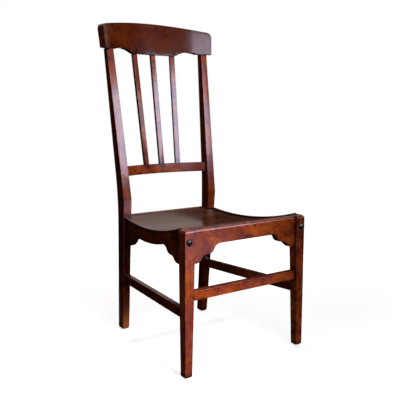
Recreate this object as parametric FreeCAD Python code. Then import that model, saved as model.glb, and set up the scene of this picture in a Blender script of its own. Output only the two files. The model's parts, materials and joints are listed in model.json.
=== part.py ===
import FreeCAD, Part
import math
import os

# A low wooden nursing chair. Sizes are in millimetres.
# While it is drawn, X runs to the right as seen from the front, Y runs back from the front faces of
# the front legs, and Z runs up from the floor. Left and right in names are as seen from the front.
# The finished pieces are then moved along Y, so that the origin is on the floor under the middle.

V = FreeCAD.Vector

# Front legs: square, plumb in front and outside, tapered on the two inner faces
seat_front_width = 391.0
leg_top_height = 365.0
leg_size = 28.0
leg_foot_size = 21.0
leg_front_round = 10.0
leg_outer_round = 9.0
leg_top_round = 4.0
foot_round = 7.0

# Back posts: swept back to the floor below the bend and raked back above it
seat_depth = 354.0
bend_above_leg_top = 27.0
post_foot_spread = 286.5
post_bend_spread = 298.5
post_top_spread = 326.5
post_foot_width = 21.5
post_bend_width = 26.0
post_top_width = 21.5
post_foot_sweep = 30.5
post_top_rake = 65.0
post_foot_depth = 27.0
post_bend_depth = 34.5
post_top_depth = 20.5
post_back_radius = 800.0
post_tenon_width = 11.0
post_tenon_depth = 10.0
post_tenon_length = 30.0

# Seat rails
front_rail_setback = 7.0
rail_thickness = 20.0
rail_top_step = 1.5
front_rail_depth = 42.5
front_rail_round = 9.0
side_rail_inset = 2.0
side_rail_depth = 38.4
side_rail_low_back = 228.0
side_rail_low_radius = 440.0
back_rail_inset = 2.5
back_rail_depth = 42.0
back_rail_rise = 4.5

# Double ogee brackets at the ends of the seat rails
bracket_foot_drop = 86.0
side_front_foot_drop = 88.5
side_back_foot_drop = 101.0
back_bracket_foot_drop = 111.0
ogee_upper_run = 36.0
ogee_ledge = 4.0
ogee_lower_run = 33.0
ogee_end_flat = 9.0
side_front_flat = 17.0
ogee_upper_share = 0.56

# Dished seat panel, let into the rails behind a lip
dish_depth = 31.0
dish_low_back = 246.0
dish_radius = 740.0
panel_thickness = 6.0
side_lip_width = 8.0
side_lip_height = 4.5
front_strip_width = 10.0
back_lip_width = 10.0

# Stretchers
front_stretcher_height = 189.0
front_stretcher_depth = 23.5
front_stretcher_thickness = 18.0
front_stretcher_setback = 6.5
side_stretcher_height = 148.5
side_stretcher_depth = 25.0
side_stretcher_thickness = 14.0
side_stretcher_inset = 1.5

# Back: lower rail, slats and crest follow one bow
overall_height = 900.0
bow_radius = 400.0
bow_forward = 2.5
lower_rail_height = 456.0
lower_rail_depth = 27.0
lower_rail_thickness = 15.0
slat_width = 16.0
slat_thickness = 9.5
slat_bottom_spacing = 55.5
slat_top_spacing = 66.0
slat_shoulder = 1.5
slat_tenon_length = 11.0
crest_height = 91.5
crest_thickness = 21.0
crest_end_drop = 19.0
crest_end_lift = 7.0
crest_overhang = 9.0
crest_end_splay = 6.5
crest_corner_round = 17.5
crest_arch_rise = 12.0
crest_arch_margin = 2.0
crest_arch_end = 9.0

# Joints
tenon_thickness = 8.0
tenon_margin = 6.0
rail_tenon_length = 16.0
back_tenon_length = 12.0
side_tenon_length = 10.0
lower_rail_tenon_thickness = 7.0
tenon_root = 5.0
joint_wall = 2.0
joint_clearance = 0.2
panel_clearance = 0.3

# Bolts through the front legs into the side rails, each with a square nut
bolt_drop = 30.3
bolt_diameter = 7.0
bolt_reach = 50.0
bolt_head_diameter = 17.0
bolt_head_height = 5.0
bolt_head_sink = 0.3
nut_size = 13.0
nut_thickness = 6.0
nut_from_end = 12.0

# Corner blocks glued and screwed into the corners of the seat frame
block_leg = 40.0
block_height = 20.0
block_gap = 3.5
screw_diameter = 4.0
screw_head_diameter = 7.5
screw_head_height = 2.5
screw_cover = 12.0
screw_bite = 12.0
screw_corner_distance = 15.0
screw_stagger = 4.5
screw_clearance = 0.1


# Sizes that follow from the ones above
front_half = seat_front_width / 2
leg_inner = front_half - leg_size
bend_height = leg_top_height + bend_above_leg_top
shoulder_height = overall_height - crest_height + crest_end_lift
slat_shoulder_height = overall_height - crest_height
lower_rail_top = lower_rail_height + lower_rail_depth
front_rail_top = leg_top_height - rail_top_step
front_rail_low = front_rail_top - front_rail_depth
front_rail_back = front_rail_setback + rail_thickness
bracket_foot = leg_top_height - bracket_foot_drop
side_front_foot = leg_top_height - side_front_foot_drop
side_back_foot = leg_top_height - side_back_foot_drop
back_bracket_foot = leg_top_height - back_bracket_foot_drop
ogee_run = ogee_upper_run + ogee_ledge + ogee_lower_run
bracket_width = ogee_run + ogee_end_flat
dish_low = leg_top_height - dish_depth
dish_centre = dish_low + dish_radius
panel_low = dish_low - side_lip_height - panel_thickness
block_top = panel_low - block_gap
block_low = block_top - block_height
bolt_height = leg_top_height - bolt_drop
tenon_low = bracket_foot + tenon_margin
tenon_high = bolt_height - bolt_diameter / 2 - joint_wall
# Long enough to pass right through anything that a drawn outline is meant to cut
far = 2 * overall_height


class Pen:
    """Draws a closed outline in one plane, stroke by stroke; place(u, v) gives a point in space."""

    def __init__(self, place, u, v):
        self.place = place
        self.start = (u, v)
        self.here = (u, v)
        self.edges = []

    def line(self, u, v):
        self.edges.append(Part.LineSegment(self.place(*self.here), self.place(u, v)).toShape())
        self.here = (u, v)

    def arc(self, through, end):
        points = [self.place(*self.here), self.place(*through), self.place(*end)]
        self.edges.append(Part.Arc(*points).toShape())
        self.here = end

    def ogee(self, u, v):
        """Two equal arcs that are level at both ends."""
        u0, v0 = self.here
        run, fall = abs(u - u0), abs(v - v0)
        radius = (run ** 2 + fall ** 2) / (4 * fall)
        turn = math.atan2(fall, run)
        du = math.copysign(radius * math.sin(turn), u - u0)
        dv = math.copysign(radius * (1 - math.cos(turn)), v - v0)
        self.arc((u0 + du, v0 + dv), ((u0 + u) / 2, (v0 + v) / 2))
        self.arc((u - du, v - dv), (u, v))

    def bracket_down(self, direction, fall, flat):
        """From a rail's lower edge to the flat foot of its bracket, heading along direction."""
        u, v = self.here
        ledge = v - fall * ogee_upper_share
        self.ogee(u + direction * ogee_upper_run, ledge)
        self.line(u + direction * (ogee_upper_run + ogee_ledge), ledge)
        self.ogee(u + direction * ogee_run, v - fall)
        self.line(u + direction * (ogee_run + flat), v - fall)

    def bracket_up(self, direction, rise):
        """From the foot of a bracket up to the rail's lower edge, heading along direction."""
        u, v = self.here
        ledge = v + rise * (1 - ogee_upper_share)
        self.line(u + direction * ogee_end_flat, v)
        self.ogee(u + direction * (ogee_end_flat + ogee_lower_run), ledge)
        self.line(u + direction * (bracket_width - ogee_upper_run), ledge)
        self.ogee(u + direction * bracket_width, v + rise)

    def face(self):
        if math.dist(self.here, self.start) > 0:
            self.line(*self.start)
        return Part.Face(Part.Wire(self.edges))


def in_front_view(u, v):
    return V(u, -far / 2, v)


def in_side_view(u, v):
    return V(-far / 2, u, v)


def through_y(face):
    return face.extrude(V(0, far, 0))


def through_x(face):
    return face.extrude(V(far, 0, 0))


def rounded_face(corners, place):
    """Face inside straight lines through the corners (u, v, radius), each rounded to its radius."""
    pen = None
    count = len(corners)
    for i in range(count + 1):
        u, v, radius = corners[i % count]
        here = V(u, v, 0)
        before = V(*corners[i % count - 1][:2], 0) - here
        after = V(*corners[(i + 1) % count][:2], 0) - here
        before.normalize()
        after.normalize()
        half = before.getAngle(after) / 2
        reach = radius / math.tan(half)
        middle = before + after
        middle.normalize()
        first = here + before * reach
        top = here + middle * (radius / math.sin(half) - radius)
        last = here + after * reach
        if pen is None:
            pen = Pen(place, last.x, last.y)
            continue
        pen.line(first.x, first.y)
        if radius > 0:
            pen.arc((top.x, top.y), (last.x, last.y))
    return pen.face()


def plan_prism(points, low, high, slope=0.0):
    """Prism on a plan of (x, y) points, upright or leaning back by slope."""
    corners = [V(x, y + slope * low, low) for x, y in points]
    face = Part.Face(Part.makePolygon(corners + corners[:1]))
    return face.extrude(V(0, slope * (high - low), high - low))


def bar_plan(reach, front, back):
    """Plan of a bar across the chair, from -reach to reach."""
    return [(-reach, front), (reach, front), (reach, back), (-reach, back)]


def mirrored(shape):
    return shape.mirror(V(0, 0, 0), V(1, 0, 0))


def tenon(point, heading, length, thickness, low, high, slope=0.0, clearance=0.0):
    """Tenon that leaves a shoulder at point (x, y) along heading; with a clearance, its mortise."""
    along = V(heading[0], heading[1], 0)
    along.normalize()
    across = V(-along.y, along.x, 0) * (thickness / 2 + clearance)
    start = V(point[0], point[1], 0) - along * tenon_root
    end = V(point[0], point[1], 0) + along * (length + clearance)
    corners = [start - across, end - across, end + across, start + across]
    plan = [(c.x, c.y) for c in corners]
    return plan_prism(plan, low - clearance, high + clearance, slope)


# Back post geometry

def along_post(z, foot, bend, top):
    """Value at height z of a size that runs straight from floor to bend and from bend to shoulder."""
    if z < bend_height:
        return foot + (bend - foot) * z / bend_height
    return bend + (top - bend) * (z - bend_height) / (shoulder_height - bend_height)


def post_centre_x(z):
    return along_post(z, post_foot_spread, post_bend_spread, post_top_spread) / 2


def post_width(z):
    return along_post(z, post_foot_width, post_bend_width, post_top_width)


def post_outer(z):
    return post_centre_x(z) + post_width(z) / 2


def post_inner(z):
    return post_centre_x(z) - post_width(z) / 2


def post_front(z):
    return along_post(z, seat_depth + post_foot_sweep, seat_depth, seat_depth + post_top_rake)


def post_back(z):
    return post_front(z) + along_post(z, post_foot_depth, post_bend_depth, post_top_depth)


def post_centre_y(z):
    return (post_front(z) + post_back(z)) / 2


# Plan lines of the sides

side_line_height = front_rail_low
side_front_x = front_half - side_rail_inset
side_back_x = post_outer(side_line_height) - side_rail_inset
side_slope = (side_back_x - side_front_x) / post_front(side_line_height)
side_angle = math.atan(-side_slope)


def side_x(y, inward):
    """X of a line parallel to the side rail's outer face, a distance inward of it."""
    return side_front_x + side_slope * y - inward / math.cos(side_angle)


def leg_side_view():
    return rounded_face([
        (0, 0, foot_round),
        (0, leg_top_height, leg_front_round),
        (leg_size, leg_top_height, leg_top_round),
        (leg_size, bracket_foot, 0),
        (leg_foot_size, 0, foot_round),
    ], in_side_view)


def front_leg():
    front_view = rounded_face([
        (front_half, 0, foot_round),
        (front_half, leg_top_height, leg_outer_round),
        (leg_inner, leg_top_height, leg_top_round),
        (leg_inner, bracket_foot, 0),
        (front_half - leg_foot_size, 0, foot_round),
    ], in_front_view)
    return through_y(front_view).common(through_x(leg_side_view()))


def post_side_view():
    top = shoulder_height
    return rounded_face([
        (post_front(0), 0, foot_round),
        (post_front(bend_height), bend_height, 0),
        (post_front(top), top, 0),
        (post_back(top), top, 0),
        (post_back(bend_height), bend_height, post_back_radius),
        (post_back(0), 0, foot_round),
    ], in_side_view)


def back_post():
    top = shoulder_height
    front_view = rounded_face([
        (post_outer(0), 0, foot_round),
        (post_outer(bend_height), bend_height, 0),
        (post_outer(top), top, 0),
        (post_inner(top), top, 0),
        (post_inner(bend_height), bend_height, 0),
        (post_inner(0), 0, foot_round),
    ], in_front_view)
    return through_y(front_view).common(through_x(post_side_view()))


def post_tenon(clearance=0.0):
    """Tenon on top of a post, leaning with it, into the underside of the crest."""
    low = shoulder_height - tenon_root
    high = shoulder_height + post_tenon_length + clearance
    half_x = post_tenon_width / 2 + clearance
    half_y = post_tenon_depth / 2 + clearance
    x, y = post_centre_x(low), post_centre_y(low)
    corners = [V(x + sx * half_x, y + sy * half_y, low) for sx, sy in [(-1, -1), (1, -1), (1, 1), (-1, 1)]]
    face = Part.Face(Part.makePolygon(corners + corners[:1]))
    rise = high - low
    lean = (post_centre_x(shoulder_height) - post_centre_x(low)) / tenon_root
    rake = (post_centre_y(shoulder_height) - post_centre_y(low)) / tenon_root
    return face.extrude(V(lean * rise, rake * rise, rise))


# The bow of the back

def bow_sag(x):
    return bow_radius - math.sqrt(bow_radius ** 2 - x ** 2)


def bow_middle(z):
    """Y of the bow's middle line on the chair's centre plane; it runs through the posts."""
    return post_centre_y(z) - bow_forward + bow_sag(post_centre_x(z))


bow_rake = ((bow_middle(shoulder_height) - bow_middle(lower_rail_height))
            / (shoulder_height - lower_rail_height))


def bow_y(x, z, low):
    """Y at x and z on the middle line of a bowed piece whose bow is set at height low."""
    return bow_middle(low) + bow_rake * (z - low) - bow_sag(x)


def bowed_slab(thickness, half_length, low, high, bow_height):
    """Slab bowed in plan and raked back, wider than it needs to be."""
    middle = bow_middle(bow_height) + bow_rake * (low - bow_height)
    centre = middle - bow_radius
    outlines = []
    for radius in (bow_radius - thickness / 2, bow_radius + thickness / 2):
        turn = math.asin(half_length / radius)
        ends = [V(s * half_length, centre + radius * math.cos(turn), low) for s in (-1, 1)]
        outlines.append((ends, V(0, centre + radius, low)))
    (near, near_middle), (rear, rear_middle) = outlines
    edges = [
        Part.Arc(near[0], near_middle, near[1]).toShape(),
        Part.LineSegment(near[1], rear[1]).toShape(),
        Part.Arc(rear[1], rear_middle, rear[0]).toShape(),
        Part.LineSegment(rear[0], near[0]).toShape(),
    ]
    face = Part.Face(Part.Wire(edges))
    return face.extrude(V(0, bow_rake * (high - low), high - low))


def crest_outline():
    """Front view of the crest, past its ends: arched top, and a small arch beside each outer slat."""
    low = slat_shoulder_height
    end = crest_end_high + 2 * crest_thickness
    inner = slat_top_spacing + slat_width / 2 + crest_arch_margin
    outer = post_inner(shoulder_height) - crest_arch_end
    peak = ((inner + outer) / 2, low + crest_arch_rise)
    pen = Pen(in_front_view, -end, shoulder_height)
    pen.line(-outer, shoulder_height)
    pen.arc((-peak[0], peak[1]), (-inner, low))
    pen.line(inner, low)
    pen.arc(peak, (outer, shoulder_height))
    pen.line(end, shoulder_height)
    pen.line(end, crest_top(end))
    pen.arc((0, overall_height), (-end, crest_top(end)))
    return through_y(pen.face())


crest_end_low = post_outer(shoulder_height) + crest_overhang
crest_end_high = crest_end_low + crest_end_splay
crest_top_radius = (crest_end_high ** 2 + crest_end_drop ** 2) / (2 * crest_end_drop)


def crest_top(x):
    """Height of the crest's arched top edge at x."""
    return overall_height - crest_top_radius + math.sqrt(crest_top_radius ** 2 - x ** 2)


def crest_end():
    """Everything inward of the crest's right end: splayed, square to the bow, top corner rounded."""
    top = crest_top(crest_end_high)
    fall = crest_end_high / (crest_top_radius - crest_end_drop)
    splay = crest_end_splay / (top - shoulder_height)
    front_radius = bow_radius - crest_thickness / 2
    turn = math.asin(crest_end_low / front_radius)
    arris_y = bow_middle(shoulder_height) - bow_radius + front_radius * math.cos(turn)
    # The cut falls as the top does, so that the rounding runs into the top without a ridge
    outward = V(math.sin(turn), math.cos(turn), -fall * math.sin(turn)) * (far / 4)

    def in_raked_view(u, v):
        return V(u, arris_y + bow_rake * (v - shoulder_height), v) - outward

    face = rounded_face([
        (-far, 0, 0),
        (crest_end_low - splay * shoulder_height, 0, 0),
        (crest_end_high, top, crest_corner_round),
        (crest_end_high - far, top + fall * far, 0),
        (-far, top + fall * far, 0),
    ], in_raked_view)
    return face.extrude(outward * 2)


def crest_rail():
    end = crest_end()
    reach = crest_end_high + crest_thickness
    low = slat_shoulder_height - joint_wall
    high = overall_height + joint_wall
    slab = bowed_slab(crest_thickness, reach, low, high, shoulder_height)
    return slab.common(crest_outline()).common(end).common(mirrored(end))


def lower_rail_end():
    """X and Y of the lower back rail's shoulder on a post's inner face, at half its height."""
    height = lower_rail_height + lower_rail_depth / 2
    x = post_inner(height)
    return x, bow_y(x, height, lower_rail_height) - bow_rake * height


def lower_back_rail(posts):
    reach = post_centre_x(lower_rail_top)
    slab = bowed_slab(lower_rail_thickness, reach, lower_rail_height, lower_rail_top, lower_rail_height)
    return slab.cut(Part.makeCompound(posts))


def lower_rail_tenon(clearance=0.0):
    low = lower_rail_height + joint_wall
    high = lower_rail_top - joint_wall
    return tenon(lower_rail_end(), (1, 0), back_tenon_length, lower_rail_tenon_thickness,
                 low, high, bow_rake, clearance)


def slat_section(x, y, z, turn, width, thickness):
    """Rectangle of a slat's section at one height, turned to face the bow's centre."""
    along = V(math.cos(turn), -math.sin(turn), 0) * (width / 2)
    across = V(math.sin(turn), math.cos(turn), 0) * (thickness / 2)
    middle = V(x, y, z)
    corners = [middle - along - across, middle + along - across,
               middle + along + across, middle - along + across]
    return Part.makePolygon(corners + corners[:1])


def slat_bar(place, end, width, thickness):
    """Bar along a slat's line, running past both of its shoulders by end."""
    low, high = lower_rail_top, slat_shoulder_height
    x_low, x_high = place * slat_bottom_spacing, place * slat_top_spacing
    y_low = bow_y(x_low, low, lower_rail_height)
    y_high = bow_y(x_high, high, shoulder_height)
    turn = math.asin((x_low + x_high) / 2 / bow_radius)
    share = end / (high - low)
    sections = []
    for t in (-share, 1 + share):
        x = x_low + (x_high - x_low) * t
        y = y_low + (y_high - y_low) * t
        z = low + (high - low) * t
        sections.append(slat_section(x, y, z, turn, width, thickness))
    return Part.makeLoft(sections, True, True)


def slat_core(place, clearance=0.0):
    """The tenons of a slat, with the bar between them."""
    less = 2 * slat_shoulder - 2 * clearance
    return slat_bar(place, slat_tenon_length + clearance, slat_width - less, slat_thickness - less)


# Seat rails

def front_rail_blank():
    pen = Pen(in_front_view, -leg_inner, front_rail_top)
    pen.line(leg_inner, front_rail_top)
    pen.line(leg_inner, bracket_foot)
    pen.bracket_up(-1, front_rail_low - bracket_foot)
    pen.line(-leg_inner + bracket_width, front_rail_low)
    pen.bracket_down(-1, front_rail_low - bracket_foot, ogee_end_flat)
    section = rounded_face([
        (front_rail_setback, 0, 0),
        (front_rail_setback, front_rail_top, front_rail_round),
        (front_rail_back, front_rail_top, 0),
        (front_rail_back, 0, 0),
    ], in_side_view)
    return through_y(pen.face()).common(through_x(section))


def front_rail_tenon(clearance=0.0):
    point = (leg_inner, front_rail_setback + rail_thickness / 2)
    return tenon(point, (1, 0), rail_tenon_length, tenon_thickness, tenon_low, tenon_high, 0, clearance)


back_rail_back = post_back(leg_top_height) - back_rail_inset
back_rail_front = back_rail_back - rail_thickness


def dish_z(y, below):
    """Height of the dish's curve, or of a curve a distance below it, at y."""
    radius = dish_radius + below
    return dish_centre - math.sqrt(radius ** 2 - (y - dish_low_back) ** 2)


def dish_arc(pen, y, below):
    """Stroke along the dish's curve, or along one a distance below it, as far as y."""
    middle = (pen.here[0] + y) / 2
    pen.arc((middle, dish_z(middle, below)), (y, dish_z(y, below)))


back_rail_top = dish_z(back_rail_front, side_lip_height) + back_rail_rise
back_rail_low = back_rail_top - back_rail_depth


def back_rail_blank(posts):
    reach = post_centre_x(back_rail_top)
    foot = post_inner(back_bracket_foot)
    pen = Pen(in_front_view, -reach, back_rail_top)
    pen.line(reach, back_rail_top)
    pen.line(reach, back_bracket_foot)
    pen.line(foot, back_bracket_foot)
    pen.bracket_up(-1, back_rail_low - back_bracket_foot)
    pen.line(-foot + bracket_width, back_rail_low)
    pen.bracket_down(-1, back_rail_low - back_bracket_foot, ogee_end_flat)
    pen.line(-reach, back_bracket_foot)
    bar = plan_prism(bar_plan(reach, back_rail_front, back_rail_back), 0, overall_height)
    blank = through_y(pen.face()).common(bar)
    return blank.cut(Part.makeCompound(posts))


def back_rail_tenon(clearance=0.0):
    low = back_bracket_foot + tenon_margin
    high = back_rail_top - tenon_margin
    point = (post_inner(low), (back_rail_front + back_rail_back) / 2)
    return tenon(point, (1, 0), back_tenon_length, tenon_thickness, low, high, 0, clearance)


def side_rail_low(y):
    """Height of a side rail's lower edge, which has an arc of its own under the dish."""
    rise = side_rail_low_radius - math.sqrt(side_rail_low_radius ** 2 - (y - side_rail_low_back) ** 2)
    return dish_low - side_rail_depth + rise


def side_rail_blank():
    """Side rail from the back of the front leg to the front of the post."""
    front = leg_size
    back = post_front(side_back_foot)
    end = back + post_foot_depth / 2
    pen = Pen(in_side_view, front, dish_z(front, 0))
    dish_arc(pen, end, 0)
    pen.line(end, side_back_foot)
    pen.line(back, side_back_foot)
    back_start = back - bracket_width
    pen.bracket_up(-1, side_rail_low(back_start) - side_back_foot)
    front_start = front + side_front_flat + ogee_run
    middle = (back_start + front_start) / 2
    front_low = side_rail_low(front_start)
    pen.arc((middle, side_rail_low(middle)), (front_start, front_low))
    pen.bracket_down(-1, front_low - side_front_foot, side_front_flat)
    plan = [(side_x(front, 0), front), (side_x(end, 0), end),
            (side_x(end, rail_thickness), end), (side_x(front, rail_thickness), front)]
    bar = plan_prism(plan, 0, overall_height)
    return through_x(pen.face()).common(bar).cut(through_x(post_side_view()))


def side_rail_front_tenon(clearance=0.0):
    """Short stub into the back of the front leg, clear of the front rail's tenon."""
    front_tenon_back = front_rail_setback + (rail_thickness + tenon_thickness) / 2
    length = leg_size - front_tenon_back - joint_wall
    point = (side_x(leg_size, rail_thickness / 2), leg_size)
    return tenon(point, (-side_slope, -1), length, tenon_thickness,
                 tenon_low, tenon_high, 0, clearance)


def side_rail_back_tenon(clearance=0.0):
    y = post_front(tenon_low)
    point = (side_x(y, rail_thickness / 2), y)
    return tenon(point, (side_slope, 1), side_tenon_length, tenon_thickness,
                 tenon_low, panel_low - tenon_margin, 0, clearance)


# Seat panel

def panel_plan(clearance=0.0):
    """Outline of the panel, with notches for the front legs and the posts; grown by a clearance."""
    front = front_rail_setback + front_strip_width - clearance
    back = back_rail_back - back_lip_width + clearance
    leg_back = leg_size + panel_clearance - clearance
    post_face = post_front(bend_height) - panel_clearance + clearance
    by_leg = leg_inner - panel_clearance + clearance
    by_post = post_inner(panel_low) - panel_clearance + clearance
    inward = side_lip_width - clearance
    half = [
        (by_leg, front),
        (by_leg, leg_back),
        (side_x(leg_back, inward), leg_back),
        (side_x(post_face, inward), post_face),
        (by_post, post_face),
        (by_post, back),
    ]
    return half + [(-x, y) for x, y in reversed(half)]


def seat_panel():
    front = front_rail_setback
    back = back_rail_back
    low = side_lip_height + panel_thickness
    pen = Pen(in_side_view, front, dish_z(front, side_lip_height))
    dish_arc(pen, back, side_lip_height)
    pen.line(back, dish_z(back, low))
    dish_arc(pen, front, low)
    return through_x(pen.face()).common(plan_prism(panel_plan(), 0, overall_height))


def panel_rebate():
    """Space cut out of the rails for the panel, open above it."""
    front = 0
    back = back_rail_back
    low = side_lip_height + panel_thickness + panel_clearance
    pen = Pen(in_side_view, front, overall_height)
    pen.line(back, overall_height)
    pen.line(back, dish_z(back, low))
    dish_arc(pen, front, low)
    return through_x(pen.face()).common(plan_prism(panel_plan(panel_clearance), 0, overall_height))


# Stretchers

def front_stretcher_blank(legs):
    reach = front_half - leg_foot_size / 2
    back = front_stretcher_setback + front_stretcher_thickness
    plan = bar_plan(reach, front_stretcher_setback, back)
    bar = plan_prism(plan, front_stretcher_height, front_stretcher_height + front_stretcher_depth)
    return bar.cut(Part.makeCompound(legs))


def leg_taper(z):
    """How far a front leg's inner faces have drawn in at height z."""
    return max(0.0, (leg_size - leg_foot_size) * (1 - z / bracket_foot))


def front_stretcher_tenon(clearance=0.0):
    low = front_stretcher_height + tenon_margin
    high = front_stretcher_height + front_stretcher_depth - joint_wall
    point = (leg_inner + leg_taper(high), front_stretcher_setback + front_stretcher_thickness / 2)
    return tenon(point, (1, 0), back_tenon_length, tenon_thickness, low, high, 0, clearance)


def side_stretcher_ends():
    """Middle of a side stretcher, in plan, at the front leg and at the post."""
    middle = side_stretcher_height + side_stretcher_depth / 2
    inward = side_stretcher_inset + side_stretcher_thickness / 2
    front = (front_half - inward, leg_size - leg_taper(middle))
    back = (post_outer(middle) - inward, post_front(middle))
    return front, back


def side_stretcher_heading():
    front, back = side_stretcher_ends()
    return back[0] - front[0], back[1] - front[1]


def side_stretcher_blank():
    front, back = side_stretcher_ends()
    run = V(*side_stretcher_heading(), 0)
    run.normalize()
    across = V(run.y, -run.x, 0) * (side_stretcher_thickness / 2)
    start = V(*front, 0) - run * (leg_foot_size / 2)
    end = V(*back, 0) + run * (post_foot_depth / 2)
    plan = [(p.x, p.y) for p in (start + across, end + across, end - across, start - across)]
    bar = plan_prism(plan, side_stretcher_height, side_stretcher_height + side_stretcher_depth)
    return bar.cut(through_x(leg_side_view())).cut(through_x(post_side_view()))


def side_stretcher_tenons(clearance=0.0):
    low = side_stretcher_height + tenon_margin
    high = side_stretcher_height + side_stretcher_depth - joint_wall
    front, back = side_stretcher_ends()
    run = side_stretcher_heading()
    backward = (-run[0], -run[1])
    return [
        tenon(front, backward, side_tenon_length, tenon_thickness, low, high, 0, clearance),
        tenon(back, run, side_tenon_length, tenon_thickness, low, high, 0, clearance),
    ]


# Bolts, on the middle line of the side rails

bolt_axis = V(side_slope, 1, 0).normalize()
bolt_start = V(side_x(0, rail_thickness / 2), 0, bolt_height)
bolt_seat = bolt_start + bolt_axis * (bolt_head_diameter / 2 * math.tan(side_angle) + bolt_head_sink)
bolt_end = bolt_start + bolt_axis * (leg_size + bolt_reach)
nut_middle = bolt_end - bolt_axis * nut_from_end


def bolt():
    radius = (bolt_head_diameter ** 2 / 4 + bolt_head_height ** 2) / (2 * bolt_head_height)
    ball = Part.makeSphere(radius, bolt_seat + bolt_axis * (radius - bolt_head_height))
    dome = ball.common(Part.makeCylinder(bolt_head_diameter, bolt_head_height, bolt_seat, -bolt_axis))
    shank = Part.makeCylinder(bolt_diameter / 2, (bolt_end - bolt_seat).Length, bolt_seat, bolt_axis)
    return dome.fuse(shank)


def bolt_hole():
    """Hole for the shank, with the flat that the tilted head seats on."""
    radius = bolt_diameter / 2 + joint_clearance
    depth = (bolt_end - bolt_seat).Length + joint_clearance
    hole = Part.makeCylinder(radius, depth, bolt_seat, bolt_axis)
    flat_radius = bolt_head_diameter / 2 + joint_clearance
    flat = Part.makeCylinder(flat_radius, bolt_head_height, bolt_seat, -bolt_axis)
    return hole.fuse(flat)


def turned_box(size_across, size_along, size_up, middle):
    """Box along the bolt's line, about its middle."""
    box = Part.makeBox(size_across, size_along, size_up,
                       V(-size_across / 2, -size_along / 2, -size_up / 2))
    box.rotate(V(0, 0, 0), V(0, 0, 1), math.degrees(side_angle))
    box.translate(middle)
    return box


def nut():
    start = nut_middle - bolt_axis * nut_thickness
    hole = Part.makeCylinder(bolt_diameter / 2 + joint_clearance, 2 * nut_thickness, start, bolt_axis)
    return turned_box(nut_size, nut_thickness, nut_size, nut_middle).cut(hole)


def nut_pocket():
    """Pocket from the rail's inner face, through which the nut goes in."""
    inward = V(-math.cos(side_angle), -math.sin(side_angle), 0)
    deep = rail_thickness / 2 + nut_size / 2 + joint_clearance
    middle = nut_middle + inward * (deep / 2 - nut_size / 2 - joint_clearance)
    gap = 2 * joint_clearance
    return turned_box(deep, nut_thickness + gap, nut_size + gap, middle)


# Corner blocks and their screws

def front_block(leg):
    side = leg_size + block_leg
    plan = [
        (leg_inner - block_leg, front_rail_back),
        (side_x(front_rail_back, rail_thickness), front_rail_back),
        (side_x(side, rail_thickness), side),
    ]
    return plan_prism(plan, block_low, block_top).cut(leg)


def back_block(post):
    corner = post_front(block_low)
    by_post = post_inner(block_low)
    side = corner - block_leg
    plan = [
        (by_post - block_leg, back_rail_front),
        (by_post, back_rail_front),
        (by_post, corner),
        (side_x(corner, rail_thickness), corner),
        (side_x(side, rail_thickness), side),
    ]
    return plan_prism(plan, block_low, block_top).cut(post)


def screw_places():
    """For each screw of the front and back blocks: the point on the rail's face and its heading.

    The two screws of a block pass each other, one above the other.
    """
    upper = (block_low + block_top) / 2 + screw_stagger
    lower = upper - 2 * screw_stagger
    outward = V(math.cos(side_angle), math.sin(side_angle), 0)
    front_y = leg_size + screw_corner_distance
    back_y = post_front(block_low) - screw_corner_distance
    front = [
        (V(leg_inner - screw_corner_distance, front_rail_back, upper), V(0, -1, 0)),
        (V(side_x(front_y, rail_thickness), front_y, lower), outward),
    ]
    back = [
        (V(post_inner(block_low) - screw_corner_distance, back_rail_front, upper), V(0, 1, 0)),
        (V(side_x(back_y, rail_thickness), back_y, lower), outward),
    ]
    return front, back


def screw(face_point, heading):
    seat = face_point - heading * screw_cover
    shank = Part.makeCylinder(screw_diameter / 2, screw_cover + screw_bite, seat, heading)
    head = Part.makeCylinder(screw_head_diameter / 2, screw_head_height, seat, -heading)
    return shank.fuse(head)


def screw_hole(face_point, heading):
    """Hole for the shank, and a counterbore from the head outwards."""
    seat = face_point - heading * screw_cover
    radius = screw_diameter / 2 + screw_clearance
    shank = Part.makeCylinder(radius, screw_cover + screw_bite + screw_clearance, seat, heading)
    head = Part.makeCylinder(screw_head_diameter / 2 + screw_clearance, block_leg, seat, -heading)
    return shank.fuse(head)


def cut_all(shape, tools):
    return shape.cut(Part.makeCompound(tools))


def both_sides(shape):
    return [shape, mirrored(shape)]


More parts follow.
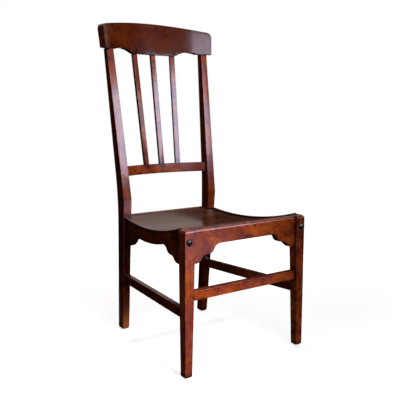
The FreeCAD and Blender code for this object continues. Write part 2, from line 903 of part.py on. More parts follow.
def chair():
    """Every piece of the chair by name, as drawn."""
    gap = joint_clearance
    leg = front_leg()
    post = back_post()
    rebate = panel_rebate()
    front_screws, back_screws = screw_places()
    front_holes = [screw_hole(*place) for place in front_screws]
    back_holes = [screw_hole(*place) for place in back_screws]

    leg_cuts = [front_rail_tenon(gap), front_stretcher_tenon(gap), side_rail_front_tenon(gap), bolt_hole()]
    leg_cuts += side_stretcher_tenons(gap)
    post_cuts = [side_rail_back_tenon(gap), back_rail_tenon(gap), lower_rail_tenon(gap)]
    post_cuts += side_stretcher_tenons(gap)
    side_rail = side_rail_blank().fuse(side_rail_front_tenon()).fuse(side_rail_back_tenon())
    side_rail = cut_all(side_rail, [rebate, bolt_hole(), nut_pocket(), front_holes[1], back_holes[1]])
    side_stretcher = side_stretcher_blank()
    for piece in side_stretcher_tenons():
        side_stretcher = side_stretcher.fuse(piece)

    handed = {
        "front_leg": cut_all(leg, leg_cuts),
        "back_post": cut_all(post, post_cuts).fuse(post_tenon()),
        "side_seat_rail": side_rail,
        "side_stretcher": side_stretcher,
        "leg_bolt": bolt(),
        "corner_block_front": cut_all(front_block(leg), front_holes),
        "corner_block_back": cut_all(back_block(post), back_holes),
    }
    pieces = {}
    for name, shape in handed.items():
        pieces[name + "_right"] = shape
        pieces[name + "_left"] = mirrored(shape)

    legs = both_sides(leg)
    posts = both_sides(post)
    front_rail = front_rail_blank()
    for piece in both_sides(front_rail_tenon()):
        front_rail = front_rail.fuse(piece)
    pieces["front_seat_rail"] = cut_all(front_rail, [rebate] + both_sides(front_holes[0]))
    back_rail = back_rail_blank(posts)
    for piece in both_sides(back_rail_tenon()):
        back_rail = back_rail.fuse(piece)
    pieces["back_seat_rail"] = cut_all(back_rail, [rebate] + both_sides(back_holes[0]))
    pieces["seat_panel"] = seat_panel()
    stretcher = front_stretcher_blank(legs)
    for piece in both_sides(front_stretcher_tenon()):
        stretcher = stretcher.fuse(piece)
    pieces["front_stretcher"] = stretcher

    lower_rail = lower_back_rail(posts)
    for piece in both_sides(lower_rail_tenon()):
        lower_rail = lower_rail.fuse(piece)
    slats = {"left": -1, "centre": 0, "right": 1}
    mortises = [slat_core(place, gap) for place in slats.values()]
    pieces["lower_back_rail"] = cut_all(lower_rail, mortises)
    pieces["crest_rail"] = cut_all(crest_rail(), mortises + both_sides(post_tenon(gap)))
    for name, place in slats.items():
        pieces["back_slat_" + name] = slat_bar(place, 0, slat_width, slat_thickness).fuse(slat_core(place))

    pieces["leg_bolt_nuts"] = Part.makeCompound(both_sides(nut()))
    screws = [screw(*place) for place in front_screws + back_screws]
    pieces["corner_block_screws"] = Part.makeCompound(screws + [mirrored(s) for s in screws])
    return pieces


def main():
    os.makedirs("parts", exist_ok=True)
    pieces = chair()
    box = FreeCAD.BoundBox()
    for shape in pieces.values():
        box.add(shape.optimalBoundingBox(False))
    for name, shape in pieces.items():
        shape.translate(V(0, -box.Center.y, 0))
        shape.exportStep("parts/" + name + ".step")
        print(name, len(shape.Solids), shape.isValid(), round(shape.Volume), flush=True)
    print("box", box)


main()
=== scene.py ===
"""A low wooden nursing chair in red-brown polish, dressed over its solids. Lengths are in metres."""
import json
import math

import bmesh
import bpy
from mathutils import Matrix, Vector
from mathutils.bvhtree import BVHTree


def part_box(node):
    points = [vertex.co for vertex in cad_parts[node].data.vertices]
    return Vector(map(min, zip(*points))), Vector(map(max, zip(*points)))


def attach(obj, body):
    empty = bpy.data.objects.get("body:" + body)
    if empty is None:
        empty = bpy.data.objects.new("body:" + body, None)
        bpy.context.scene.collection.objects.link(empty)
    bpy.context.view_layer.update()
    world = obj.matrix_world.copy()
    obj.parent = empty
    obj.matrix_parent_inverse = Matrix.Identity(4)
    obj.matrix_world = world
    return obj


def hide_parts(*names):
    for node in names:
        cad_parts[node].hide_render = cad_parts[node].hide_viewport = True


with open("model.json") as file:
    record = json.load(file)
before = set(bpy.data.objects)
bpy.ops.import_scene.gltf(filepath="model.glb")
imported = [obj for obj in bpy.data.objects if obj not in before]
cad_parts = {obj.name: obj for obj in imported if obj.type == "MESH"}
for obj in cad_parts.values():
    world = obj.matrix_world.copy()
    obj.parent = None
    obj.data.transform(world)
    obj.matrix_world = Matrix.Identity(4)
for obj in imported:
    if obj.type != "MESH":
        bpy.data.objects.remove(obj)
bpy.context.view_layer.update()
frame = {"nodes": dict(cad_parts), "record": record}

# Camera of the photograph
CAMERA_PLACE = (-0.9791, -1.3804, 0.6397)
CAMERA_HEADING = 35.74
CAMERA_PITCH = -7.57
CAMERA_ROLL = 0.13
CAMERA_LENS = 54.52
SENSOR = 36.0
CAMERA_SHIFT = (0.0046, -0.0200)

# Rounded arrises; an edge is in a joint where other pieces are near it at these shares of its length
WELD = 1e-5
FLAT_ANGLE = math.radians(0.2)
SHARP_ANGLE = math.radians(12)
JOINT_GAP = 0.0012
JOINT_SAMPLES = (0.1, 0.5, 0.9)
ARRIS_STEPS = 3
ROUNDED_IN_JOINTS = ("crest_rail",)
ARRIS = {
    "crest_rail": 0.0012,
    "back_post": 0.0016,
    "back_slat": 0.0010,
    "lower_back_rail": 0.0012,
    "front_leg": 0.0012,
    "seat_rail": 0.0012,
    "stretcher": 0.0012,
    "seat_panel": 0.0006,
    "corner_block": 0.0008,
    "leg_bolt": 0.0003,
}

# Colours, as linear red, green and blue
WOOD_DARK = (0.026, 0.0034, 0.0010, 1)
# Near black: drawn in patches along arrises, and as painted shade in crevices
EDGE_DARK_AND_PAINTED_SHADE = (0.006, 0.0010, 0.0005, 1)
WOOD_RED = (0.260, 0.0400, 0.0085, 1)
WOOD_ORANGE = (0.560, 0.1180, 0.0190, 1)
# Pale wood of rubbed chips, also used for the painted light on a foot
WOOD_WORN_AND_LIT = (0.520, 0.1700, 0.0560, 1)
WOOD_PURPLE = (0.190, 0.0360, 0.0330, 1)
SEAT_DARK = (0.034, 0.0100, 0.0055, 1)
SEAT_LIGHT = (0.095, 0.0320, 0.0170, 1)
BARE_DARK = (0.210, 0.110, 0.052, 1)
BARE_LIGHT = (0.400, 0.245, 0.130, 1)
LACQUER_DARK = (0.004, 0.004, 0.005, 1)
LACQUER_LIGHT = (0.014, 0.013, 0.015, 1)
STEEL_DARK = (0.230, 0.220, 0.205, 1)
STEEL_LIGHT = (0.480, 0.470, 0.450, 1)
FLOOR_BROWN = (0.050, 0.036, 0.032, 1)
FLOOR_PALE = (0.70, 0.70, 0.70, 1)
CARD_BLACK = (0.0, 0.0, 0.0, 1)
CARD_GREY = (0.46, 0.38, 0.36, 1)
SHEET_LAVENDER = (0.60, 0.64, 1.00, 1)
PANE_LAVENDER = (6.5, 6.8, 9.0, 1)
WHITE = (1, 1, 1, 1)

# Grain: its scale across and along, and the step between the figures of two seeds
GRAIN_SCALE = (1, 1, 0.06)
GRAIN_SHIFT = (1.7, 2.3, 0.9)
ALONG_X = Vector((1, 0, 0))
SEAT_SEED = 5
BARE_SEED = 9

# A piece's points are parted into this many lots along it, and its ends are the first lot and the last
LOTS_OF_POINTS = 10

# Noises of the polished wood: scale, detail, roughness and distortion
NOISE_ALONG_GRAIN = {
    "figure": (30.0, 3.0, 0.55, 0.6),
    "streaks": (420.0, 3.0, 0.6),
    "pores": (1700.0, 1.0, 0.5),
}
NOISE_ALL_ROUND = {
    "blotches": (34.0, 3.0, 0.6, 0.8),
    "cloud": (14.0, 2.0, 0.5, 0.4),
    "chips": (90.0, 3.0, 0.6),
    "ripple": (60.0, 2.0),
}
NOISE_SPREAD = (0.3, 0.7)

# Layers of the polished wood: where a layer is least and where it is full, then these two shares
WOOD_LAYERS = {
    "orange": (0.40, 0.62, 0.0, 1.0),
    "purple": (0.48, 0.66, 0.0, 0.8),
    "blotches": (0.47, 0.30, 0.0, 0.35),
    "streaks": (0.50, 0.75, 0.0, 0.45),
    "pores": (0.62, 0.75, 0.0, 0.5),
    # Darker in patches near the arrises, and rubbed pale chips on them
    "arris_darkening": (0.80, 0.50, 0.0, 1.0),
    "arris_darkening_patches": (0.35, 0.60, 0.75, 0.3),
    "rubbed_arris": (0.45, 0.32, 0.0, 1.0),
    "chips": (0.50, 0.66, 0.0, 0.6),
    # Painted shade in crevices and between parts
    "crevice_shade": (0.85, 0.40, 0.0, 0.95),
    # Painted shade on faces that look up
    "top": (0.6, 0.95, 0.0, 0.4),
}
FIGURE_SHARE = 0.4
BLOTCH_SHARE = 0.6
EDGE_REACH = 0.010
CREVICE_REACH = 0.030
OCCLUSION_SAMPLES = 8

# Surface of the polished wood; a bump is a strength and a depth
WOOD_ROUGHNESS = (0.10, 0.17)
RIPPLE_BUMP = (0.25, 0.0006)
GRAIN_BUMP = (0.10, 0.0003)
STREAK_DEPTH = 0.5
POLISH = {"lower_back_rail": 0.12, "crest_rail": 0.45}
FULL_POLISH = 0.5

# How much darker each piece's wood is drawn, from 0 to 1: partly its own tone, partly painted shade, as
# on the right side rail
PIECE_DARKNESS = {
    "crest_rail": 0.91,
    "back_post": 0.58,
    "back_slat": 0.50,
    "lower_back_rail": 0.56,
    "front_leg_left": 0.0,
    "front_leg_right": 0.12,
    "front_seat_rail": 0.32,
    "front_stretcher": 0.05,
    "side_seat_rail_right": 0.85,
    "side": 0.45,
    "back_seat_rail": 0.3,
}

# A pale nick in the upper front arris of the front stretcher, which fades between two distances
NICK_PIECE = "front_stretcher"
NICK_PLACE = (-0.085, -0.2385, 0.2115)
NICK_RADII = (0.0035, 0.0021)

# A painted pool of light lies on the left back foot, fading out between these heights
FOOT_PIECE = "back_post_left"
FOOT_HEIGHTS = (0.115, 0.04)
FOOT_LIGHT_SHARES = (0.0, 0.55)

# Seat of stained plywood
SEAT_FIGURE = (14.0, 3.0, 0.5, 0.8)
SEAT_STREAKS = (300.0, 2.0, 0.5)
SEAT_RUBBED = (9.0, 2.0, 0.5)
SEAT_STREAK_LAYER = (0.5, 0.8, 0.0, 0.5)
SEAT_ROUGHNESS = (0.15, 0.23)
SEAT_POLISH = 0.45
SEAT_BUMP = (0.05, 0.0003)

# Bare wood of the blocks
BARE_STREAKS = (240.0, 4.0, 0.6, 0.3)
BARE_DUST = (40.0, 3.0)
BARE_STREAK_LAYER = (0.35, 0.7)
BARE_DUST_LAYER = (0.5, 0.75, 0.0, 0.6)
BARE_ROUGHNESS = (0.65, 0.85)
BARE_POLISH = 0.3
BARE_BUMP = (0.4, 0.0004)

# Iron of the bolts and steel of the nuts and screws
MOTTLE = (420.0, 3.0, 0.6)
MOTTLE_LAYER = (0.35, 0.65)
LACQUER_ROUGHNESS = (0.14, 0.26)
LACQUER_POLISH = 0.8
STEEL_PITS = (1600.0, 2.0, 0.6)
STEEL_ROUGHNESS = (0.35, 0.55)
STEEL_BUMP = (0.3, 0.0002)

# Windows; headings are in degrees from the front of the chair towards its right
SQUARE_WINDOW = {"headings": (-26.0, 2.0), "heights": (1.05, 2.05), "distance": 2.5,
                 "power": 27.0, "tint": (0.82, 0.78, 1.0)}
WIDE_WINDOW = {"headings": (8.0, 41.0), "heights": (0.93, 1.66), "distance": 2.5,
               "power": 41.0, "tint": (0.66, 0.74, 1.0)}
CURTAIN = {"headings": (41.0, 58.0), "heights": (0.98, 1.40), "distance": 2.5,
           "power": 3.5, "tint": (0.95, 0.85, 1.0)}
HIGH_WINDOW = {"headings": (-6.0, 12.0), "heights": (5.5, 6.4), "distance": 8.0,
               "power": 1050.0, "tint": (1.0, 0.94, 0.90)}
SIDE_WINDOW = {"headings": (100.0, 130.0), "heights": (0.5, 1.7), "distance": 3.5,
               "power": 80.0, "tint": (1.0, 0.97, 0.94)}
BACK_WINDOW = {"headings": (150.0, 182.0), "heights": (0.8, 2.0), "distance": 3.5,
               "power": 80.0, "tint": (1.0, 0.97, 0.94)}

# Floor and surroundings
AMBIENT = 0.05
FLOOR_RADIUS = 12.0
FLOOR_SIDES = 96
FLOOR_GLOW = 0.64
FLOOR_FADE = (0.5, 1.8)

# Walls, cloths, a sheet and a pane that only reflections show; headings are as for the windows
CARD_DISTANCE = 8.6
CARD_HEIGHT = 10.2
CARD_STEP = 5.0
CARD_FRONT = (-35.0, 85.0)
CARD_LEFT = (-168.0, -115.0)
CARD_SIDE = (-115.0, -35.0)
CARD_RIGHT = (124.0, 144.0)
CARD_BACK = (144.0, 160.0)
SIDE_HEIGHTS = (0.5, CARD_HEIGHT)
PANE_HEADINGS = (36.0, 50.0)
PANE_HEIGHTS = (5.0, 7.4)
PANE_DISTANCE = 8.0
FULL_TURN = (-180.0, 180.0)
CLOTH_LEFT = (-216.0, -115.0)
CLOTH_RADIUS = 0.6
GREY_CLOTH_HEIGHT = 0.001
BLACK_CLOTH_HEIGHT = 0.002
SHEET_HEIGHT = 0.003
SHEET_X = (0.30, 0.90)
SHEET_Y = (-1.9, -1.05)

# Black panel that keeps some of the windows' light off the right of the chair
FLAG_X = (0.13, 1.2)
FLAG_Y = -0.75
FLAG_HEIGHTS = (0.30, 0.80)


class Graph:
    """Node tree of a material or world, built a node at a time."""

    def __init__(self, owner):
        owner.use_nodes = True
        self.tree = owner.node_tree
        self.tree.nodes.clear()

    def feed(self, socket, value):
        """Link another socket to a node's input, or give it a plain value."""
        if isinstance(value, bpy.types.NodeSocket):
            self.tree.links.new(value, socket)
        else:
            socket.default_value = value

    def add(self, kind, inputs=None, **settings):
        """New node; inputs maps the names or numbers of its sockets to what feeds them."""
        node = self.tree.nodes.new("ShaderNode" + kind)
        for name, value in settings.items():
            setattr(node, name, value)
        for name, value in (inputs or {}).items():
            self.feed(node.inputs[name], value)
        return node

    def noise(self, vector, scale, detail=2.0, roughness=0.5, distortion=0.0):
        inputs = {"Vector": vector, "Scale": scale, "Detail": detail,
                  "Roughness": roughness, "Distortion": distortion}
        return self.add("TexNoise", inputs).outputs["Fac"]

    def stretch(self, value, low, high, to_low=0.0, to_high=1.0):
        """Value from low to high, spread over another range and clamped."""
        inputs = {"Value": value, "From Min": low, "From Max": high, "To Min": to_low, "To Max": to_high}
        return self.add("MapRange", inputs).outputs["Result"]

    def math(self, operation, first, second):
        return self.add("Math", {0: first, 1: second}, operation=operation).outputs[0]

    def mix(self, share, first, second):
        node = self.add("Mix", data_type="RGBA")
        for name, value in (("Factor_Float", share), ("A_Color", first), ("B_Color", second)):
            self.feed(next(s for s in node.inputs if s.identifier == name), value)
        return next(s for s in node.outputs if s.identifier == "Result_Color")

    def occlusion(self, distance, inside=False):
        """Share of open directions within a distance, outside the surface or inside the solid."""
        settings = {"inside": inside, "only_local": inside, "samples": OCCLUSION_SAMPLES}
        return self.add("AmbientOcclusion", {"Distance": distance}, **settings).outputs["AO"]

    def bump(self, height, strength, depth, over=None):
        """Normal of a bumpy surface, which can lie over another one."""
        inputs = {"Height": height, "Strength": strength, "Distance": depth}
        if over is not None:
            inputs["Normal"] = over
        return self.add("Bump", inputs).outputs["Normal"]

    def finish(self, shader, kind="Material"):
        self.add("Output" + kind, {"Surface": shader})

    def finish_surface(self, inputs):
        self.finish(self.add("BsdfPrincipled", inputs).outputs["BSDF"])


def first_match(table, piece, otherwise=None):
    """Value of the first entry whose key is part of a piece's name."""
    return next((value for key, value in table.items() if key in piece), otherwise)


# Materials

def grain_coordinates(graph, direction, seed):
    """Object coordinates, and a copy turned and stretched so that the grain runs along local Z."""
    place = graph.add("TexCoord").outputs["Object"]
    turn = direction.rotation_difference(Vector((0, 0, 1))).to_euler()
    along = graph.add("Mapping", {"Vector": place, "Rotation": turn}).outputs["Vector"]
    shift = [seed * step for step in GRAIN_SHIFT]
    grain = graph.add("Mapping", {"Vector": along, "Location": shift, "Scale": GRAIN_SCALE})
    return place, grain.outputs["Vector"]


# Colour drawn darker by a piece's darkness, which is partly painted shade
def toward_dark_wood(colour, darkness):
    return tuple(fresh + (old - fresh) * darkness for fresh, old in zip(colour, WOOD_DARK))


def stained(graph, noise, darkness):
    """Colour of the stain: blotchy red, orange and purple with dark streaks and pores."""
    figure = graph.math("MULTIPLY", noise["figure"], FIGURE_SHARE)
    blotches = graph.math("MULTIPLY", noise["blotches"], BLOTCH_SHARE)
    orange = graph.stretch(graph.math("ADD", figure, blotches), *WOOD_LAYERS["orange"])
    body = graph.mix(orange, toward_dark_wood(WOOD_RED, darkness), toward_dark_wood(WOOD_ORANGE, darkness))
    purple = graph.stretch(noise["cloud"], *WOOD_LAYERS["purple"])
    body = graph.mix(purple, body, toward_dark_wood(WOOD_PURPLE, darkness))
    for layer in ("blotches", "streaks", "pores"):
        body = graph.mix(graph.stretch(noise[layer], *WOOD_LAYERS[layer]), body, WOOD_DARK)
    return body


def worn_and_shaded(graph, noise, body, darkness):
    """The stain's colour, darker in patches near arrises, with rubbed pale chips on them, and painted
    shade in crevices and on upward faces.
    """
    # The wood is drawn darker in patches within reach of its arrises
    inside = graph.occlusion(EDGE_REACH, inside=True)
    near_arris = graph.stretch(inside, *WOOD_LAYERS["arris_darkening"])
    patches = graph.stretch(noise["blotches"], *WOOD_LAYERS["arris_darkening_patches"])
    body = graph.mix(graph.math("MULTIPLY", near_arris, patches), body, EDGE_DARK_AND_PAINTED_SHADE)
    on_arris = graph.stretch(inside, *WOOD_LAYERS["rubbed_arris"])
    chips = graph.stretch(noise["chips"], *WOOD_LAYERS["chips"])
    body = graph.mix(graph.math("MULTIPLY", on_arris, chips), body, toward_dark_wood(WOOD_WORN_AND_LIT, darkness))
    # Painted shade: near black where other surfaces close in, in crevices and between parts
    crevice_shade = graph.stretch(graph.occlusion(CREVICE_REACH), *WOOD_LAYERS["crevice_shade"])
    body = graph.mix(crevice_shade, body, EDGE_DARK_AND_PAINTED_SHADE)
    # Painted shade: faces that look up are drawn darker
    facing = graph.add("TexCoord").outputs["Normal"]
    upward = graph.add("SeparateXYZ", {0: facing}).outputs["Z"]
    return graph.mix(graph.stretch(upward, *WOOD_LAYERS["top"]), body, WOOD_DARK)


def nicked(graph, place, body):
    away = graph.add("VectorMath", {0: place, 1: NICK_PLACE}, operation="DISTANCE").outputs["Value"]
    return graph.mix(graph.stretch(away, *NICK_RADII), body, BARE_LIGHT)


# Painted light: a pale pool on the left back foot, fading upward
def painted_light_on_foot(graph, place, body):
    height = graph.add("SeparateXYZ", {0: place}).outputs["Z"]
    return graph.mix(graph.stretch(height, *FOOT_HEIGHTS, *FOOT_LIGHT_SHARES), body, WOOD_WORN_AND_LIT)


def polished_wood(piece, direction, seed):
    """Red-brown stained wood under polish with wear, with the grain of one piece and its darkness, which
    is partly painted shade; it also carries painted shade in crevices and on upward faces.
    """
    material = bpy.data.materials.new("polished_wood_" + piece)
    graph = Graph(material)
    place, grain = grain_coordinates(graph, direction, seed)
    noise = {name: graph.noise(grain, *values) for name, values in NOISE_ALONG_GRAIN.items()}
    noise.update({name: graph.noise(place, *values) for name, values in NOISE_ALL_ROUND.items()})
    darkness = first_match(PIECE_DARKNESS, piece)
    body = worn_and_shaded(graph, noise, stained(graph, noise, darkness), darkness)
    if piece == NICK_PIECE:
        body = nicked(graph, place, body)
    # Painted pool of light on the left back foot
    if piece == FOOT_PIECE:
        body = painted_light_on_foot(graph, place, body)
    ripple = graph.bump(noise["ripple"], *RIPPLE_BUMP)
    relief = graph.math("ADD", graph.math("MULTIPLY", noise["streaks"], STREAK_DEPTH), noise["pores"])
    graph.finish_surface({
        "Base Color": body,
        "Roughness": graph.stretch(noise["cloud"], *NOISE_SPREAD, *WOOD_ROUGHNESS),
        "Specular IOR Level": first_match(POLISH, piece, FULL_POLISH),
        "Normal": graph.bump(relief, *GRAIN_BUMP, ripple),
    })
    return material


def seat_plywood(name):
    """Brown stained plywood with broad figure, rubbed to a satin shine."""
    material = bpy.data.materials.new(name)
    graph = Graph(material)
    place, grain = grain_coordinates(graph, ALONG_X, SEAT_SEED)
    figure = graph.noise(grain, *SEAT_FIGURE)
    streaks = graph.noise(grain, *SEAT_STREAKS)
    rubbed = graph.noise(place, *SEAT_RUBBED)
    body = graph.mix(graph.stretch(figure, *NOISE_SPREAD), SEAT_DARK, SEAT_LIGHT)
    body = graph.mix(graph.stretch(streaks, *SEAT_STREAK_LAYER), body, SEAT_DARK)
    graph.finish_surface({
        "Base Color": body,
        "Roughness": graph.stretch(rubbed, *NOISE_SPREAD, *SEAT_ROUGHNESS),
        "Specular IOR Level": SEAT_POLISH,
        "Normal": graph.bump(streaks, *SEAT_BUMP),
    })
    return material


def bare_wood(name):
    """Unfinished wood of the blocks inside the frame, dusty with the years."""
    material = bpy.data.materials.new(name)
    graph = Graph(material)
    place, grain = grain_coordinates(graph, ALONG_X, BARE_SEED)
    streaks = graph.noise(grain, *BARE_STREAKS)
    dust = graph.noise(place, *BARE_DUST)
    body = graph.mix(graph.stretch(streaks, *BARE_STREAK_LAYER), BARE_LIGHT, BARE_DARK)
    body = graph.mix(graph.stretch(dust, *BARE_DUST_LAYER), body, BARE_DARK)
    graph.finish_surface({
        "Base Color": body,
        "Roughness": graph.stretch(streaks, *NOISE_SPREAD, *BARE_ROUGHNESS),
        "Specular IOR Level": BARE_POLISH,
        "Normal": graph.bump(streaks, *BARE_BUMP),
    })
    return material


def lacquer(name):
    """Black lacquer on the bolts' iron."""
    material = bpy.data.materials.new(name)
    graph = Graph(material)
    place = graph.add("TexCoord").outputs["Object"]
    mottle = graph.noise(place, *MOTTLE)
    graph.finish_surface({
        "Base Color": graph.mix(graph.stretch(mottle, *MOTTLE_LAYER), LACQUER_DARK, LACQUER_LIGHT),
        "Roughness": graph.stretch(mottle, *NOISE_SPREAD, *LACQUER_ROUGHNESS),
        "Specular IOR Level": LACQUER_POLISH,
    })
    return material


def worn_steel(name):
    """Dull steel with a mottled tone and fine pits."""
    material = bpy.data.materials.new(name)
    graph = Graph(material)
    place = graph.add("TexCoord").outputs["Object"]
    mottle = graph.noise(place, *MOTTLE)
    pits = graph.noise(place, *STEEL_PITS)
    graph.finish_surface({
        "Base Color": graph.mix(graph.stretch(mottle, *MOTTLE_LAYER), STEEL_DARK, STEEL_LIGHT),
        "Metallic": 1.0,
        "Roughness": graph.stretch(mottle, *NOISE_SPREAD, *STEEL_ROUGHNESS),
        "Normal": graph.bump(pits, *STEEL_BUMP),
    })
    return material


# Pieces dressed over the solids

def surface_trees():
    return {name: BVHTree.FromPolygons([v.co for v in node.data.vertices],
                                       [p.vertices for p in node.data.polygons])
            for name, node in frame["nodes"].items()}


def in_a_joint(edge, others):
    """True where an edge lies against another piece along its whole length."""
    first, last = (v.co for v in edge.verts)
    for share in JOINT_SAMPLES:
        point = first.lerp(last, share)
        if all(tree.find_nearest(point, JOINT_GAP)[0] is None for tree in others):
            return False
    return True


def marked_mesh(name, others):
    """Copy of a node's mesh with its flat faces whole and its free arrises marked for rounding."""
    solid = bmesh.new()
    solid.from_mesh(frame["nodes"][name].data)
    bmesh.ops.remove_doubles(solid, verts=solid.verts, dist=WELD)
    bmesh.ops.dissolve_limit(solid, angle_limit=FLAT_ANGLE, verts=solid.verts, edges=solid.edges)
    weight = solid.edges.layers.float.new("bevel_weight_edge")
    whole = name in ROUNDED_IN_JOINTS
    for face in solid.faces:
        face.smooth = True
    for edge in solid.edges:
        if edge.calc_face_angle(0) < SHARP_ANGLE:
            continue
        if edge.is_convex and (whole or not in_a_joint(edge, others)):
            edge[weight] = 1.0
        else:
            edge.smooth = False
    mesh = bpy.data.meshes.new(name + "_finished")
    solid.to_mesh(mesh)
    solid.free()
    return mesh


def softened(name, others):
    """Piece over a node, with its free arrises rounded."""
    piece = bpy.data.objects.new(name + "_finished", marked_mesh(name, others))
    bpy.context.scene.collection.objects.link(piece)
    bevel = piece.modifiers.new("arrises", "BEVEL")
    bevel.limit_method = "WEIGHT"
    bevel.width = first_match(ARRIS, name)
    bevel.segments = ARRIS_STEPS
    bevel.use_clamp_overlap = False
    normals = piece.modifiers.new("normals", "WEIGHTED_NORMAL")
    normals.keep_sharp = True
    return piece


def grain_direction(name):
    """From the middle of a piece's lower or first end to the middle of its other end."""
    low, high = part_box(name)
    size = high - low
    axis = max(range(3), key=lambda i: size[i])
    places = sorted((v.co for v in frame["nodes"][name].data.vertices), key=lambda p: p[axis])
    count = max(1, len(places) // LOTS_OF_POINTS)
    first = sum(places[:count], Vector()) / count
    last = sum(places[-count:], Vector()) / count
    return (last - first).normalized()


def dress_all():
    slots = {row["node"]: row["material_slot"] for row in frame["record"]["subparts"]}
    trees = surface_trees()
    shared = {
        "seat_plywood": seat_plywood("seat_plywood"),
        "bare_wood": bare_wood("bare_wood"),
        "dark_iron": lacquer("dark_iron"),
        "steel": worn_steel("steel"),
    }
    for seed, (name, slot) in enumerate(slots.items()):
        piece = softened(name, [tree for other, tree in trees.items() if other != name])
        if slot == "polished_wood":
            piece.data.materials.append(polished_wood(name, grain_direction(name), seed))
        else:
            piece.data.materials.append(shared[slot])
        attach(piece, "root")
        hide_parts(name)


# Studio

def seen_directly(graph):
    """1 for rays from the camera, a mirror or through glass, 0 for the rest."""
    path = graph.add("LightPath").outputs
    either = graph.math("MAXIMUM", path["Is Camera Ray"], path["Is Glossy Ray"])
    return graph.math("MAXIMUM", either, path["Is Transmission Ray"])


def white_world():
    world = bpy.data.worlds.new("studio")
    bpy.context.scene.world = world
    graph = Graph(world)
    ambient = graph.add("Background", {"Color": WHITE, "Strength": AMBIENT}).outputs[0]
    backdrop = graph.add("Background", {"Color": WHITE, "Strength": 1.0}).outputs[0]
    both = graph.add("MixShader", {0: seen_directly(graph), 1: ambient, 2: backdrop}).outputs[0]
    graph.finish(both, "World")


def pale_floor():
    """Floor that fades to plain white away from the chair, so that it meets the backdrop unseen."""
    bpy.ops.mesh.primitive_circle_add(vertices=FLOOR_SIDES, radius=FLOOR_RADIUS, fill_type="NGON")
    floor = bpy.context.object
    floor.name = "floor"
    material = bpy.data.materials.new("pale_floor")
    graph = Graph(material)
    plain = graph.add("BsdfDiffuse", {"Color": FLOOR_BROWN}).outputs[0]
    shaded = graph.add("BsdfDiffuse", {"Color": FLOOR_PALE}).outputs[0]
    glow = graph.add("Emission", {"Color": WHITE, "Strength": FLOOR_GLOW}).outputs[0]
    white = graph.add("Emission", {"Color": WHITE, "Strength": 1.0}).outputs[0]
    near = graph.add("AddShader", {0: shaded, 1: glow}).outputs[0]
    place = graph.add("TexCoord").outputs["Object"]
    away = graph.add("VectorMath", {0: place}, operation="LENGTH").outputs["Value"]
    shown = graph.add("MixShader", {0: graph.stretch(away, *FLOOR_FADE), 1: near, 2: white}).outputs[0]
    graph.finish(graph.add("MixShader", {0: seen_directly(graph), 1: plain, 2: shown}).outputs[0])
    floor.data.materials.append(material)


def heading_place(heading, distance, height):
    turn = math.radians(heading)
    return Vector((math.sin(turn) * distance, -math.cos(turn) * distance, height))


def studio_card(name, points, faces, colour):
    """Sheet of one tone that only reflections show."""
    mesh = bpy.data.meshes.new(name)
    mesh.from_pydata(points, [], faces)
    material = bpy.data.materials.new(name)
    graph = Graph(material)
    graph.finish(graph.add("Emission", {"Color": colour}).outputs[0])
    mesh.materials.append(material)
    card = bpy.data.objects.new(name, mesh)
    bpy.context.scene.collection.objects.link(card)
    card.visible_camera = False
    card.visible_diffuse = False
    card.visible_shadow = False
    card.visible_transmission = False
    return card


def card_turns(headings):
    """Headings from the first to the last in even steps."""
    first, last = headings
    count = round((last - first) / CARD_STEP)
    return [first + (last - first) * i / count for i in range(count + 1)]


def curved_wall(name, headings, colour, heights=(0, CARD_HEIGHT), distance=CARD_DISTANCE):
    turns = card_turns(headings)
    points = [heading_place(turn, distance, height) for turn in turns for height in heights]
    faces = [(2 * i, 2 * i + 2, 2 * i + 3, 2 * i + 1) for i in range(len(turns) - 1)]
    studio_card(name, points, faces, colour)


def floor_cloth(name, headings, colour, height, radius=CARD_DISTANCE):
    points = [(0, 0, height)]
    points += [heading_place(turn, radius, height) for turn in card_turns(headings)]
    faces = [(0, i, i + 1) for i in range(1, len(points) - 1)]
    studio_card(name, points, faces, colour)


def floor_sheet():
    """Pale sheet in front of the chair, which the left of its front mirrors."""
    (left, right), (front, back) = SHEET_X, SHEET_Y
    corners = ((left, front), (right, front), (right, back), (left, back))
    points = [(x, y, SHEET_HEIGHT) for x, y in corners]
    studio_card("floor_sheet", points, [(0, 1, 2, 3)], SHEET_LAVENDER)


def flag():
    """Black panel that shades the chair and shows in no reflection."""
    (left, right), (low, high) = FLAG_X, FLAG_HEIGHTS
    corners = ((left, low), (right, low), (right, high), (left, high))
    points = [(x, FLAG_Y, z) for x, z in corners]
    panel = studio_card("flag", points, [(0, 1, 2, 3)], CARD_BLACK)
    panel.visible_glossy = False
    panel.visible_diffuse = True
    panel.visible_shadow = True


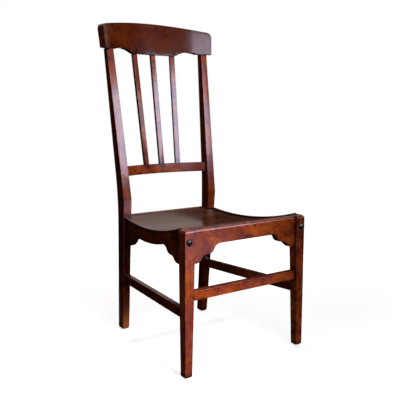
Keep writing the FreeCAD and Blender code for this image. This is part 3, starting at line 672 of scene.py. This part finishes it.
def window(name, headings, heights, distance, power, tint):
    """Upright pane that faces the chair."""
    first, last = headings
    low, high = heights
    light = bpy.data.lights.new(name, "AREA")
    light.shape = "RECTANGLE"
    light.size = 2 * distance * math.tan(math.radians((last - first) / 2))
    light.size_y = high - low
    light.energy = power
    light.color = tint
    pane = bpy.data.objects.new(name, light)
    pane.location = heading_place((first + last) / 2, distance, (low + high) / 2)
    inward = Vector((-pane.location.x, -pane.location.y, 0))
    pane.rotation_euler = inward.to_track_quat("-Z", "Y").to_euler()
    bpy.context.scene.collection.objects.link(pane)
    return pane


def studio():
    white_world()
    pale_floor()
    floor_cloth("cloth_round", FULL_TURN, CARD_GREY, GREY_CLOTH_HEIGHT)
    floor_cloth("cloth_under", FULL_TURN, CARD_BLACK, BLACK_CLOTH_HEIGHT, CLOTH_RADIUS)
    floor_cloth("cloth_front", CARD_FRONT, CARD_BLACK, BLACK_CLOTH_HEIGHT)
    floor_cloth("cloth_left", CLOTH_LEFT, CARD_BLACK, BLACK_CLOTH_HEIGHT)
    floor_sheet()
    curved_wall("card_front", CARD_FRONT, CARD_BLACK)
    curved_wall("upper_pane", PANE_HEADINGS, PANE_LAVENDER, PANE_HEIGHTS, PANE_DISTANCE)
    curved_wall("card_left", CARD_LEFT, CARD_BLACK)
    curved_wall("card_side", CARD_SIDE, CARD_BLACK, SIDE_HEIGHTS)
    curved_wall("card_right", CARD_RIGHT, CARD_BLACK)
    curved_wall("card_back", CARD_BACK, CARD_GREY)
    flag()
    window("square_window", **SQUARE_WINDOW)
    window("wide_window", **WIDE_WINDOW)
    window("curtain", **CURTAIN)
    window("high_window", **HIGH_WINDOW).visible_glossy = False
    window("side_window", **SIDE_WINDOW).visible_glossy = False
    window("back_window", **BACK_WINDOW).visible_glossy = False


def camera():
    data = bpy.data.cameras.new("camera")
    data.lens = CAMERA_LENS
    data.sensor_width = SENSOR
    data.shift_x, data.shift_y = CAMERA_SHIFT
    eye = bpy.data.objects.new("camera", data)
    turn = (Matrix.Rotation(math.radians(-CAMERA_HEADING), 4, "Z")
            @ Matrix.Rotation(math.radians(90 + CAMERA_PITCH), 4, "X")
            @ Matrix.Rotation(math.radians(CAMERA_ROLL), 4, "Z"))
    eye.matrix_world = Matrix.Translation(CAMERA_PLACE) @ turn
    bpy.context.scene.collection.objects.link(eye)
    bpy.context.scene.camera = eye


dress_all()
studio()
camera()
bpy.context.scene.view_settings.view_transform = "Standard"
